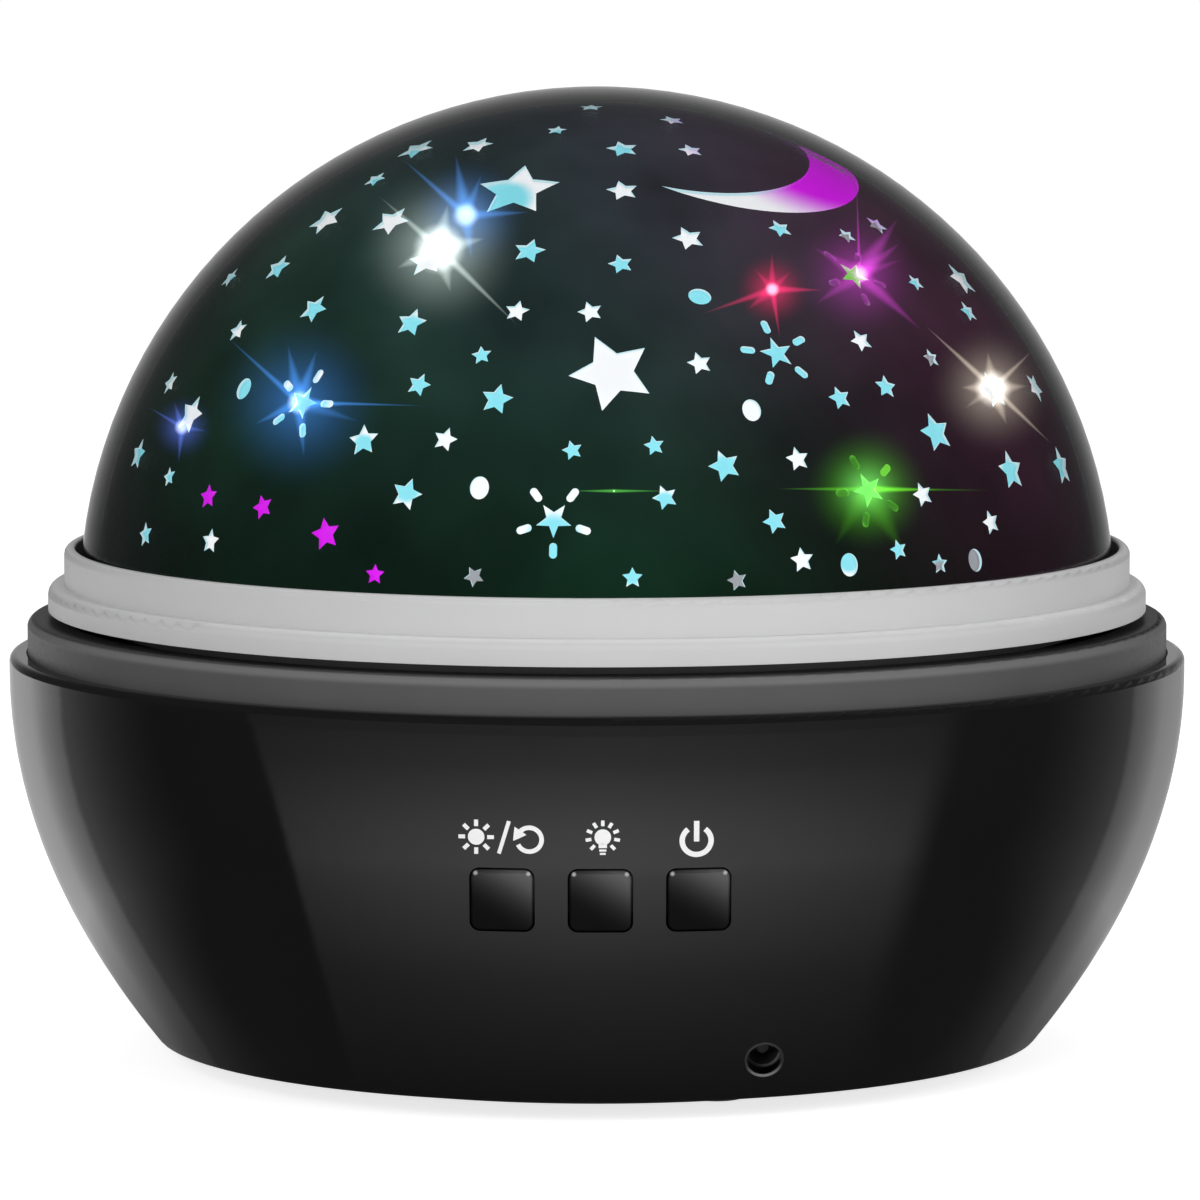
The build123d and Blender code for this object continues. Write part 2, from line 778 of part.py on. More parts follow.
def make_tower():
    tower = spun(
        (tower_bore, deck_under),
        (tower_spigot_radius, deck_under),
        (tower_spigot_radius, deck_top),
        (tower_flange_radius, deck_top),
        (tower_flange_radius, washer_level),
        (tower_radius, washer_level),
        (tower_radius, tower_top),
        (tower_bore, tower_top),
    )
    for x in lug_xs:
        tower += upright(lug_radius, tower_top - lug_height, tower_top, x)
    depth = tower_top + lamp_board_thickness - lamp_screw_length - slip
    return tower - [upright(lamp_screw_radius + press, depth, tower_top + overrun, x) for x in lug_xs]


def make_washer():
    ring = upright(tower_flange_radius, washer_level, hub_bottom)
    return ring - upright(tower_radius + slip, washer_level - overrun, hub_bottom + overrun)


def make_lamp_board():
    top = tower_top + lamp_board_thickness
    board = upright(lamp_board_radius, tower_top, top)
    return board - [upright(lamp_screw_radius + press, tower_top - overrun, top + overrun, x) for x in lug_xs]


def make_led(x, y):
    """Round-nosed lamp with its rim."""
    foot = tower_top + lamp_board_thickness
    nose = foot + led_height - led_radius
    body = upright(led_rim_radius, foot, foot + led_rim, x, y) + upright(led_radius, foot, nose, x, y)
    return body + Pos(x, y, nose) * Sphere(led_radius)


def make_turntable():
    table = spun(
        (tower_radius + running, hub_bottom),
        (hub_radius, hub_bottom),
        (hub_radius, turntable_under),
        (turntable_radius, turntable_under),
        (turntable_radius, ring_bottom),
        (hub_radius, ring_bottom),
        (hub_radius, ring_bottom + hub_rise),
        (tower_radius + running, ring_bottom + hub_rise),
    )
    reach = (hub_radius - rib_bite, ring_web_radius - slip)
    rib = block(reach, (-rib_width / 2, rib_width / 2), (turntable_under, ring_bottom + rib_rise))
    for index in range(rib_count):
        table += Rot(0, 0, 360 * index / rib_count) * rib
    hole = ring_screw_radius + slip
    low, high = turntable_under - overrun, ring_bottom + overrun
    return table - [upright(hole, low, high, x, y) for x, y in ring_places]


def make_ring():
    bore = dome_radius + dome_fit
    flange_top = ring_bottom + ring_flange_height
    ring = spun(
        (ring_web_radius, ring_bottom),
        (ring_flange_radius, ring_bottom),
        (ring_flange_radius, flange_top, ring_flange_round),
        (ring_collar_radius, flange_top),
        (ring_collar_radius, ring_top, ring_collar_round),
        (bore, ring_top, ring_lip_round),
        (bore, web_top),
        (ring_web_radius, web_top),
    )
    for x, y in ring_places:
        ring += upright(ring_boss_radius, ring_bottom, web_top + ring_boss_rise, x, y)
    tip = turntable_under + ring_screw_length + slip
    hole = ring_screw_radius + press
    return ring - [upright(hole, ring_bottom - overrun, tip, x, y) for x, y in ring_places]


def cap_shell(outside, inside):
    """Part of a hollow ball above the ring's web."""
    ball = Pos(0, 0, dome_centre) * (Sphere(outside) - Sphere(inside))
    return ball & upright(outside + overrun, web_top, dome_centre + outside + overrun)


def outward(bearing, height):
    """Plane through the dome's centre that looks out along a bearing and a height."""
    b = math.radians(bearing)
    h = math.radians(height)
    normal = (math.cos(h) * math.sin(b), -math.cos(h) * math.cos(b), math.sin(h))
    return Plane(origin=(0, 0, dome_centre), x_dir=(math.cos(b), math.sin(b), 0), z_dir=normal)


def star(size, waist_share):
    """Five-pointed star with one point up, by its tip and waist radii."""
    points = []
    for index in range(2 * star_points):
        radius = size if index % 2 == 0 else size * waist_share
        angle = math.pi / 2 + math.pi * index / star_points
        points.append((radius * math.cos(angle), radius * math.sin(angle)))
    return make_face(Polyline(*points, close=True))


def burst():
    """Slim star and a loose ray beyond each of its points."""
    faces = [star(burst_core, burst_waist_share)]
    middle = burst_core + burst_gap + burst_ray / 2
    for index in range(star_points):
        ray = SlotOverall(burst_ray, burst_ray_width, rotation=90)
        faces.append(Rot(0, 0, 360 * index / star_points) * Pos(0, middle) * ray)
    return faces


def drawn_in(bearing, height, back=0):
    """True bearing and height of a window seen at a place, turned to the back by an angle."""
    b = math.radians(bearing)
    h = math.radians(height)
    tip = math.radians(view_height)
    side = window_draw_share * math.cos(h) * math.sin(b)
    rise = window_draw_share * (math.sin(h) * math.cos(tip) - math.cos(h) * math.cos(b) * math.sin(tip))
    front = math.sqrt(1 - side**2 - rise**2)
    ahead = front * math.cos(tip) - rise * math.sin(tip)
    up = front * math.sin(tip) + rise * math.cos(tip)
    return math.degrees(math.atan2(side, ahead)) + back, math.degrees(math.asin(up))


def window(place, turn, face):
    """Window shape drawn out along its bearing, through the film only."""
    prism = Pos(0, 0, film_inner - giant) * extrude(face, film_thickness + 2 * giant)
    return outward(*place) * Rot(0, 0, turn) * prism


def moon():
    """Crescent: a round bar along one bearing less another along the next."""
    reach = film_radius + overrun
    whole = Cylinder(moon_radius, reach, align=(Align.CENTER, Align.CENTER, Align.MIN))
    bite = outward(*drawn_in(*moon_bite_place)) * Cylinder(moon_bite_radius, 2 * reach)
    return outward(*drawn_in(*moon_place)) * whole - bite


def make_film():
    """Dark film with its windows: all of them on the front, the plain larger stars again on the back."""
    tools = [moon()]
    for bearing, height, size, turn in stars:
        tools.append(window(drawn_in(bearing, height), turn, star(size, star_waist_share)))
        if size > small and height < crown_angle:
            tools.append(window(drawn_in(bearing, height, 180), turn, star(size, star_waist_share)))
    for bearing, height, turn in dots:
        tools.append(window(drawn_in(bearing, height), turn, Ellipse(dot_width / 2, dot_height / 2)))
    for bearing, height, turn in bursts:
        tools += [window(drawn_in(bearing, height), turn, face) for face in burst()]
        tools.append(window(drawn_in(bearing, height, 180), turn, star(large, star_waist_share)))
    return cap_shell(film_radius, film_inner) - tools


def lead(*points, bend=lead_bend):
    """Round wire bundle along straight runs joined by tangent arcs."""
    path = FilletPolyline(*points, radius=bend)
    return sweep(Plane(origin=path @ 0, z_dir=path % 0) * Circle(lead_radius), path=path)


def make_led_leads():
    z = button_z + lead_rise
    return lead((0, board_back, z), (0, 0, z), (0, 0, tower_top))


def make_motor_leads():
    """From the control board along the motor's side, then into its terminal block."""
    z = deck_under - motor_height / 2
    x = -motor_side - lead_bend - lead_radius
    return lead((x, board_back, z), (x, motor_y, z), (-motor_side, motor_y, z))


def make_socket_leads():
    """Up from the back of the socket's top, then forward to the control board."""
    start = socket_back - 2 * lead_radius
    z = button_z - lead_rise
    bend = min(lead_bend, (start - board_back) / 2)
    top = socket_low + socket_height
    return lead((socket_x, start, top), (socket_x, start, z), (socket_x, board_back, z), bend=bend)


def make_battery_leads():
    leads = []
    x = (plate_thickness - bay_length) / 2
    end = rail_grip + 2 * lead_radius - board_width / 2
    for side, y in zip((1, -1), terminal_ys):
        z = button_z + side * lead_rise / 2
        start = (x, y, bay_top + plate_tab_rise)
        leads.append(lead(start, (x, y, z), (end, board_back / 2, z), (end, board_back, z)))
    return group(leads)


parts = {
    "base_bowl": make_bowl(),
    "top_cover": make_cover(),
    "battery_door": make_door(),
    "battery_cells": make_cells(),
    "contact_plates": make_plates(),
    "contact_leaves": make_leaves(),
    "tact_switches": make_switches(),
    "main_board": make_board(),
    "control_chip": make_chip(),
    "power_socket": make_socket(),
    "socket_pin": make_socket_pin(),
    "gear_motor": make_motor(),
    "motor_shaft": make_shaft(),
    "drive_pinion": make_pinion(),
    "turntable_gear": make_gear(),
    "light_tower": make_tower(),
    "thrust_washer": make_washer(),
    "lamp_board": make_lamp_board(),
    "turntable": make_turntable(),
    "turn_ring": make_ring(),
    "dome_shell": cap_shell(dome_radius, dome_radius - dome_wall),
    "star_mask": make_film(),
    "colour_film": cap_shell(film_inner - film_gap, film_inner - film_gap - colour_thickness),
    "led_leads": make_led_leads(),
    "motor_leads": make_motor_leads(),
    "socket_leads": make_socket_leads(),
    "battery_leads": make_battery_leads(),
}

for name, x in zip(("rotate", "colour", "power"), button_xs):
    parts[f"button_{name}"] = make_button(x)
    parts[f"plunger_{name}"] = make_plunger(x)

led_names = ("white", "blue", "green", "red")
for name, (x, y) in zip(led_names, around(len(led_names), led_circle, led_bearing)):
    parts[f"led_{name}"] = make_led(x, y)

pad = upright(foot_radius, 0, foot_thickness)
pad = fillet(pad.edges().group_by(Axis.Z)[0], foot_round)
parts["rubber_feet"] = group([Pos(x, y, 0) * pad for x, y in around(foot_count, foot_circle, foot_bearing)])

case_screw = screw(case_screw_radius, case_screw_length, case_head_radius, case_head_height)
parts["case_screws"] = group([Pos(x, y, post_top - post_web) * case_screw for x, y in post_places])

door_screw = screw(door_screw_radius, door_screw_length, door_head_radius, door_head_height)
door_seat = bowl_bottom + door_head_height
parts["door_screws"] = group([Pos(x, y, door_seat) * door_screw for x, y in door_screw_places])

motor_screw = screw(motor_screw_radius, motor_screw_length, motor_head_radius, motor_head_height)
ear_under = deck_under - ear_thickness
parts["motor_screws"] = group([Pos(x, motor_y, ear_under) * motor_screw for x in (-ear_reach, ear_reach)])

lamp_screw = Rot(180, 0, 0) * screw(lamp_screw_radius, lamp_screw_length, lamp_head_radius, lamp_head_height)
lamp_top = tower_top + lamp_board_thickness
parts["lamp_board_screws"] = group([Pos(x, 0, lamp_top) * lamp_screw for x in lug_xs])

ring_screw = screw(ring_screw_radius, ring_screw_length, ring_head_radius, ring_head_height)
parts["ring_screws"] = group([Pos(x, y, turntable_under) * ring_screw for x, y in ring_places])

for name, part in parts.items():
    export_step(part, f"parts/{name}.step")
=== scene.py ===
"""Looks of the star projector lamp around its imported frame: metres, Z up, front towards -Y."""
import json
import math

import bmesh
import bpy
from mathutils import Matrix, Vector


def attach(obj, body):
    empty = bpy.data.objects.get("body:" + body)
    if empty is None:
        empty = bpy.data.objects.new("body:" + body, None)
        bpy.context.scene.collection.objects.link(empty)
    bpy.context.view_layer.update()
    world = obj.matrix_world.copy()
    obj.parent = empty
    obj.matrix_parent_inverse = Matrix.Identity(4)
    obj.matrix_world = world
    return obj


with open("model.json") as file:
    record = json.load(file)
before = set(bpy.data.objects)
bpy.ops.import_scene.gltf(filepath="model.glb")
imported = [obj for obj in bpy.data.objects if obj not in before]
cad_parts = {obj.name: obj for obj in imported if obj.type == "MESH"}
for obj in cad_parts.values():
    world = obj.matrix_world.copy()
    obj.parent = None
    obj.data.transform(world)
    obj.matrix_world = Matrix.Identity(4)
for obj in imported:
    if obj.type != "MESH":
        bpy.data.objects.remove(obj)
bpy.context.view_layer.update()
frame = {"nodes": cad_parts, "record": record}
nodes = frame["nodes"]
MM = 0.001


def node_box(name):
    """Lowest and highest corner of a node's solid."""
    points = [vertex.co for vertex in nodes[name].data.vertices]
    low = Vector([min(point[axis] for point in points) for axis in range(3)])
    high = Vector([max(point[axis] for point in points) for axis in range(3)])
    return low, high


def node_middle(name):
    low, high = node_box(name)
    return (low + high) / 2


# Profile of the bowl, as in the solids, in millimetres
bowl_radius = node_box("base_bowl")[1].x / MM
bowl_floor_radius = 48.8
curve_top, curve_turn, curve_low = 43.3, 22.5, 2.4

# Dome: centre of its round forms, its two films, and how its windows are drawn in for a view from above
dome_centre = Vector((0, 0, 50.1)) * MM
film_radius = 55.4 * MM
film_depth = node_box("star_mask")[1].z - node_box("colour_film")[1].z
view_height, window_draw_share = 6, 0.957

# Colours, linear
WHITE = (1.0, 1.0, 1.0)
CYAN = (0.24, 0.78, 0.88)
MAGENTA = (0.72, 0.003, 0.84)
VIOLET = (0.2, 0.03, 0.2)
GREEN = (0.15, 0.62, 0.035)
LEAF_GREEN = (0.035, 0.19, 0.008)
PALE_GREEN = (0.22, 0.95, 0.15)
DIM_GREY = (0.3, 0.29, 0.31)

# Range that noise mostly stays in
noise_low, noise_high = 0.3, 0.7


class Graph:
    """Short way to add nodes to a material or world."""

    def __init__(self, tree):
        self.tree = tree

    def node(self, kind, **settings):
        made = self.tree.nodes.new("ShaderNode" + kind)
        for key, value in settings.items():
            setattr(made, key, value)
        return made

    def put(self, value, socket):
        if isinstance(value, bpy.types.NodeSocket):
            self.tree.links.new(value, socket)
        else:
            socket.default_value = value

    def fill(self, made, *values):
        for value, socket in zip(values, made.inputs):
            self.put(value, socket)
        return made

    def coords(self, kind="Object"):
        return self.node("TexCoord").outputs[kind]

    def axes(self, vector):
        """X, Y and Z of a vector."""
        return self.fill(self.node("SeparateXYZ"), vector).outputs

    def joined(self, *values):
        """Vector of up to three values."""
        return self.fill(self.node("CombineXYZ"), *values).outputs[0]

    def math(self, operation, *values):
        return self.fill(self.node("Math", operation=operation), *values).outputs[0]

    def vector(self, operation, *values):
        made = self.fill(self.node("VectorMath", operation=operation), *values)
        return made.outputs["Value" if operation in ("DOT_PRODUCT", "LENGTH") else "Vector"]

    def scaled(self, vector, factor):
        made = self.fill(self.node("VectorMath", operation="SCALE"), vector)
        self.put(factor, made.inputs["Scale"])
        return made.outputs["Vector"]

    def ramp(self, value, low, high, to_low=0.0, to_high=1.0, smooth=False):
        made = self.node("MapRange", interpolation_type="SMOOTHSTEP" if smooth else "LINEAR")
        return self.fill(made, value, low, high, to_low, to_high).outputs[0]

    def noise(self, coords, scale, detail=3.0):
        made = self.node("TexNoise")
        self.put(coords, made.inputs["Vector"])
        made.inputs["Scale"].default_value = scale
        made.inputs["Detail"].default_value = detail
        return made.outputs["Fac"]

    def cloud(self, coords, scale, low, high, detail=3.0):
        """Uneven value between low and high."""
        return self.ramp(self.noise(coords, scale, detail), noise_low, noise_high, low, high)

    def blend(self, factor, first, second):
        made = self.node("Mix", data_type="RGBA")
        self.put(factor, made.inputs["Factor"])
        self.put((*first, 1) if isinstance(first, tuple) else first, made.inputs[6])
        self.put((*second, 1) if isinstance(second, tuple) else second, made.inputs[7])
        return made.outputs[2]


def bearing_axes(bearing, height):
    """Outward, sideways and upward directions at a place on the dome."""
    b, h = math.radians(bearing), math.radians(height)
    out = Vector((math.cos(h) * math.sin(b), -math.cos(h) * math.cos(b), math.sin(h)))
    side = Vector((math.cos(b), math.sin(b), 0))
    return out, side, out.cross(side)


view_front, view_side, view_up = bearing_axes(0, view_height)
sight = -view_front


def drawn_in(bearing, height):
    """True bearing and height of what is seen through the clear shell at a place, as for the windows."""
    seen = bearing_axes(bearing, height)[0]
    side, rise = window_draw_share * seen.dot(view_side), window_draw_share * seen.dot(view_up)
    out = view_side * side + view_up * rise + view_front * math.sqrt(1 - side**2 - rise**2)
    return math.degrees(math.atan2(out.x, -out.y)), math.degrees(math.asin(out.z))


def new_material(name):
    """Material with nodes, with its graph and its shader."""
    mat = bpy.data.materials.new(name)
    mat.use_nodes = True
    return mat, Graph(mat.node_tree), mat.node_tree.nodes["Principled BSDF"]


def opened(mat):
    """Graph and shader of a material that is there already."""
    return Graph(mat.node_tree), mat.node_tree.nodes["Principled BSDF"]


# How much broader the clouds of tone are than the fine grain, and the depth of the grain's relief
broad_share, relief_depth = 20, 0.1 * MM


def surface(name, color, rough, vary=0.04, grain=900.0, tone=0.08, bump=0.04, stretch=(1, 1, 1), **sockets):
    """Moulded or metal surface: uneven tone, uneven gloss and a fine grain."""
    mat, graph, shader = new_material(name)
    coords = graph.coords()
    mapping = graph.node("Mapping")
    mapping.inputs["Scale"].default_value = stretch
    graph.put(coords, mapping.inputs["Vector"])
    fine = graph.noise(mapping.outputs[0], grain)
    broad = graph.noise(coords, grain / broad_share)
    darker = tuple(c * (1 - tone) for c in color)
    paler = tuple(min(1, c * (1 + tone)) for c in color)
    graph.put(graph.blend(broad, darker, paler), shader.inputs["Base Color"])
    gloss = graph.ramp(fine, noise_low, noise_high, rough - vary, rough + vary)
    graph.put(gloss, shader.inputs["Roughness"])
    if bump:
        relief = graph.node("Bump")
        relief.inputs["Strength"].default_value = bump
        relief.inputs["Distance"].default_value = relief_depth
        graph.put(fine, relief.inputs["Height"])
        graph.put(relief.outputs[0], shader.inputs["Normal"])
    for key, value in sockets.items():
        shader.inputs[key.replace("_", " ")].default_value = value
    return mat


def glowing(name, color, glow, strength, rough):
    """Lit surface: a plain body colour and a slightly cloudy glow of one colour."""
    mat = surface(name, color, rough, bump=0)
    graph, shader = opened(mat)
    cloudy = graph.scaled(glow, graph.cloud(graph.coords(), 260.0, 0.9, 1.0))
    graph.put(cloudy, shader.inputs["Emission Color"])
    shader.inputs["Emission Strength"].default_value = strength
    return mat


def repaint(mat, paint):
    """Puts paint(graph, tone so far) on a material as its colour."""
    graph, shader = opened(mat)
    base = shader.inputs["Base Color"]
    graph.put(paint(graph, base.links[0].from_socket), base)


def mesh_piece(name, build, mat, body, smooth=True):
    """Mesh made by build(bmesh), riding on a body."""
    data = bpy.data.meshes.new(name)
    bm = bmesh.new()
    build(bm)
    bmesh.ops.recalc_face_normals(bm, faces=bm.faces)
    for face in bm.faces:
        face.smooth = smooth
    bm.to_mesh(data)
    bm.free()
    piece = bpy.data.objects.new(name, data)
    bpy.context.scene.collection.objects.link(piece)
    data.materials.append(mat)
    if body:
        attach(piece, body)
    return piece


# Plain materials of the frame's nodes
plain_looks = {
    "bowl_black": dict(color=(0.0066, 0.0066, 0.007), rough=0.07, vary=0.02, grain=1400.0, bump=0.006,
                       IOR=1.5),
    "button_black": dict(color=(0.006, 0.006, 0.0065), rough=0.12, vary=0.03, grain=1400.0, bump=0.01,
                         IOR=1.5),
    "cover_grey": dict(color=(0.08, 0.08, 0.082), rough=0.42, vary=0.05, grain=2400.0, bump=0.12,
                       Specular_IOR_Level=0.3),
    "ring_grey": dict(color=(0.53, 0.53, 0.535), rough=0.38, vary=0.05, grain=1800.0, tone=0.03, bump=0.08),
    "inner_white": dict(color=(0.7, 0.7, 0.68), rough=0.42, bump=0.08),
    "gear_white": dict(color=(0.76, 0.75, 0.7), rough=0.38, bump=0.05),
    "rubber_black": dict(color=(0.02, 0.02, 0.02), rough=0.8, vary=0.08, grain=3000.0, bump=0.3),
    "board_green": dict(color=(0.015, 0.16, 0.06), rough=0.35, vary=0.08, grain=700.0, tone=0.25, bump=0.1),
    "chip_black": dict(color=(0.018, 0.018, 0.02), rough=0.5, vary=0.08, grain=2500.0, bump=0.15),
    "cell_case": dict(color=(0.03, 0.1, 0.06), rough=0.3, vary=0.05, bump=0.02, Metallic=0.4),
    "nickel": dict(color=(0.66, 0.63, 0.56), rough=0.25, vary=0.08, stretch=(1, 1, 12), Metallic=1.0),
    "steel": dict(color=(0.52, 0.52, 0.54), rough=0.32, vary=0.08, grain=1500.0, stretch=(8, 1, 1),
                  Metallic=1.0),
    "motor_case": dict(color=(0.58, 0.58, 0.6), rough=0.34, vary=0.08, stretch=(1, 1, 15), Metallic=1.0),
    "wire": dict(color=(0.3, 0.02, 0.02), rough=0.45, bump=0.05),
}
lamp_looks = {
    "lamp_white": dict(color=(0.8, 0.8, 0.75), glow=(1.0, 0.96, 0.88)),
    "lamp_blue": dict(color=(0.1, 0.2, 0.7), glow=(0.12, 0.3, 1.0)),
    "lamp_green": dict(color=(0.1, 0.6, 0.12), glow=(0.15, 1.0, 0.2)),
    "lamp_red": dict(color=(0.7, 0.06, 0.06), glow=(1.0, 0.1, 0.1)),
}
lamp_strength, lamp_rough = 2.0, 0.08
looks = {name: surface(name, **row) for name, row in plain_looks.items()}
for name, row in lamp_looks.items():
    looks[name] = glowing(name, strength=lamp_strength, rough=lamp_rough, **row)

# Button caps: painted light, paler towards the upper right of each face, with painted glints on the upper
# corners
button_low, button_high, button_half = 22.6 * MM, 29.2 * MM, 3.2 * MM
button_middle = node_middle("button_colour").x
button_pitch = node_middle("button_power").x - button_middle
cap_tilt, cap_reach, cap_power = 0.3, 1.1, 2.8
cap_shade_tone, cap_lit_tone = (0.003, 0.003, 0.0032), (0.066, 0.066, 0.067)
cap_gloss_low, cap_gloss_high, cap_gloss_full = 0.06, 0.5, 0.6
glint_inset, glint_core, glint_reach = 0.45 * MM, 0.05 * MM, 0.34 * MM
glint_tone = (0.4, 0.4, 0.4)


def button_caps_painted_light(mat):
    graph, shader = opened(mat)
    x, _, z = graph.axes(graph.coords())
    side = graph.math("WRAP", graph.math("SUBTRACT", x, button_middle), button_pitch / 2, -button_pitch / 2)
    tilt = graph.ramp(side, -button_half, button_half, -cap_tilt, cap_tilt)
    rise = graph.math("ADD", graph.ramp(z, button_low, button_high), tilt)
    rise = graph.math("POWER", graph.ramp(rise, 0.0, cap_reach), cap_power)
    out = graph.math("SUBTRACT", graph.math("ABSOLUTE", side), button_half - glint_inset)
    up = graph.math("SUBTRACT", z, button_high - glint_inset)
    away = graph.vector("LENGTH", graph.joined(out, up))
    corner = graph.ramp(away, glint_core, glint_reach, 1.0, 0.0, True)
    # Painted light and shade across the face, painted glints at the upper corners, and a gloss that grows
    # with the painted light
    tone = graph.blend(rise, cap_shade_tone, cap_lit_tone)
    graph.put(graph.blend(corner, tone, glint_tone), shader.inputs["Base Color"])
    gloss = graph.ramp(rise, 0.0, cap_gloss_full, cap_gloss_low, cap_gloss_high)
    graph.put(gloss, shader.inputs["Specular IOR Level"])


button_caps_painted_light(looks["button_black"])

# Turning ring: painted light, paler where it faces up
ring_up_from, ring_up_full, ring_top_light_gain = 0.6, 0.97, 1.34


def ring_painted_top_light(graph, tone):
    up = graph.axes(graph.coords("Normal"))[2]
    return graph.scaled(tone, graph.ramp(up, ring_up_from, ring_up_full, 1.0, ring_top_light_gain))


repaint(looks["ring_grey"], ring_painted_top_light)

# Cover: a painted highlight along its rounded edge, painted shade on the flat under the ring
cover_top, cover_round = node_box("top_cover")[1].z, 1.0 * MM
cover_highlight_from, cover_highlight_full = cover_top - 1.3 * cover_round, cover_top - 0.6 * cover_round
cover_shade_from, cover_shade_full = cover_top - 0.25 * cover_round, cover_top - 0.08 * cover_round
cover_edge_highlight, cover_shaded = (0.14, 0.14, 0.142), (0.026, 0.026, 0.027)


def cover_painted_light(graph, tone):
    z = graph.axes(graph.coords())[2]
    edge = graph.ramp(z, cover_highlight_from, cover_highlight_full, 0.0, 1.0, True)
    flat = graph.ramp(z, cover_shade_from, cover_shade_full)
    return graph.blend(flat, graph.blend(edge, tone, cover_edge_highlight), cover_shaded)


repaint(looks["cover_grey"], cover_painted_light)

# Clear shell of the dome, slightly smoked
smoke_color, smoke_density = (0.02, 0.02, 0.04, 1), 350.0


def clear_shell():
    mat = surface("dome_clear", (0.96, 0.98, 0.99), 0.02, 0.005, 60.0, tone=0.01, bump=0, IOR=1.46,
                  Transmission_Weight=1.0)
    graph = opened(mat)[0]
    smoke = graph.node("VolumeAbsorption")
    smoke.inputs["Color"].default_value = smoke_color
    smoke.inputs["Density"].default_value = smoke_density
    graph.put(smoke.outputs[0], mat.node_tree.nodes["Material Output"].inputs["Volume"])
    return mat


looks["dome_clear"] = clear_shell()

# Painted light on the star film, a glow from the lamps behind it: bearing, height, narrowness, colour
lamp_glow_patches = [
    (4, 66, 6, (0.022, 0.021, 0.034)),
    (-45, 42, 5, (0.007, 0.034, 0.019)),
    (5, 40, 8, (0.006, 0.012, 0.013)),
    (8, 10, 9, (0.001, 0.016, 0.005)),
    (62, 42, 8, (0.058, 0.014, 0.035)),
    (180, 35, 5, (0.004, 0.010, 0.026)),
    (-120, 30, 5, (0.022, 0.004, 0.018)),
    (120, 30, 5, (0.004, 0.016, 0.008)),
]

# Flares where a lamp shines straight through: bearing, height, colour, core and halo radius in millimetres,
# halo level, and rays as angle, length, width and level
flares = [
    (-29, 50, (0.86, 1.0, 0.92), 2.5, 9.5, 0.65, [
        (-45, 12, 0.7, 0.7), (138, 9, 0.7, 0.7), (80, 5, 1.9, 1.0), (12, 5, 1.9, 1.0), (-75, 5, 1.9, 1.0),
        (205, 5, 1.9, 1.0)]),
    (-27.5, 55.8, (0.1, 0.36, 1.0), 1.3, 7.0, 0.7, [
        (137, 10, 0.7, 0.8), (100, 7, 1.4, 0.9), (70, 5, 1.0, 0.7), (2, 7, 0.9, 0.8), (-82, 5, 1.2, 0.8)]),
    (-41.6, 28, (0.08, 0.34, 1.0), 1.2, 10.0, 0.5, [
        (138, 11, 0.6, 0.8), (102, 6.5, 1.3, 0.9), (72, 6, 1.3, 0.9), (205, 5.5, 1.0, 0.9),
        (-2, 14, 0.4, 0.8), (-4, 5, 1.1, 1.0), (-84, 6, 1.1, 0.9), (-18, 7, 1.2, 0.45)]),
    (-64, 23.4, (0.15, 0.25, 1.0), 0.8, 3.8, 0.7, [
        (150, 5, 0.4, 0.6), (110, 3, 0.7, 0.8), (-95, 4, 0.6, 0.7), (-10, 3, 0.6, 0.6)]),
    (28.5, 43.7, (1.0, 0.02, 0.16), 0.7, 4.4, 0.8, [
        (90, 4, 0.7, 0.8), (0, 5.5, 0.7, 1.0), (200, 8, 0.6, 0.7), (-82, 5.5, 0.5, 0.9), (130, 3, 0.7, 0.6),
        (45, 3, 0.7, 0.6), (-140, 3.5, 1.0, 0.7)]),
    (47.4, 45.1, (0.75, 0.06, 0.7), 0.9, 7.6, 0.52, [
        (55, 8, 1.7, 0.7), (38, 6, 1.3, 0.7), (20, 5, 1.0, 0.5), (90, 11, 0.3, 0.8), (150, 6, 1.3, 0.55),
        (215, 6, 1.3, 0.5), (-42, 9, 1.3, 0.7)]),
    (63.4, 28.3, (1.0, 0.86, 0.68), 1.9, 7.5, 0.6, [
        (138, 10, 0.6, 0.8), (-42, 9, 0.6, 0.8), (42, 7, 0.6, 0.8), (215, 4, 0.9, 0.5), (97, 4, 1.5, 1.0),
        (5, 4, 1.5, 1.0), (-70, 4.2, 1.5, 1.0), (180, 3.6, 1.5, 1.0)]),
    (33.8, 18.1, (0.3, 1.0, 0.4), 0.1, 4.5, 0.4, []),
    (33.8, 18.1, (0.17, 0.9, 0.02), 0.1, 7.0, 0.7, [
        (0, 8, 0.6, 1.0), (0, 14, 0.35, 0.35), (180, 10, 0.4, 0.5), (-60, 8, 2.4, 0.2),
        (-120, 7, 2.0, 0.15)]),
    (2, 18.8, (0.17, 0.9, 0.1), 0.1, 0.3, 0.4, [(0, 6, 0.25, 0.6), (180, 5, 0.25, 0.6)]),
    (150, 40, (0.1, 0.36, 1.0), 1.2, 7.0, 0.6, [(100, 8, 1.0, 0.9), (20, 7, 0.9, 0.8), (-60, 6, 1.0, 0.8)]),
    (-150, 28, (1.0, 0.86, 0.68), 1.8, 6.5, 0.6, [(138, 9, 0.5, 0.8), (-42, 8, 0.5, 0.8), (42, 6, 0.6, 0.7)]),
]
core_from, core_to, core_gain, core_white, halo_power = 0.3, 1.2, 1.4, 0.55, 2.5

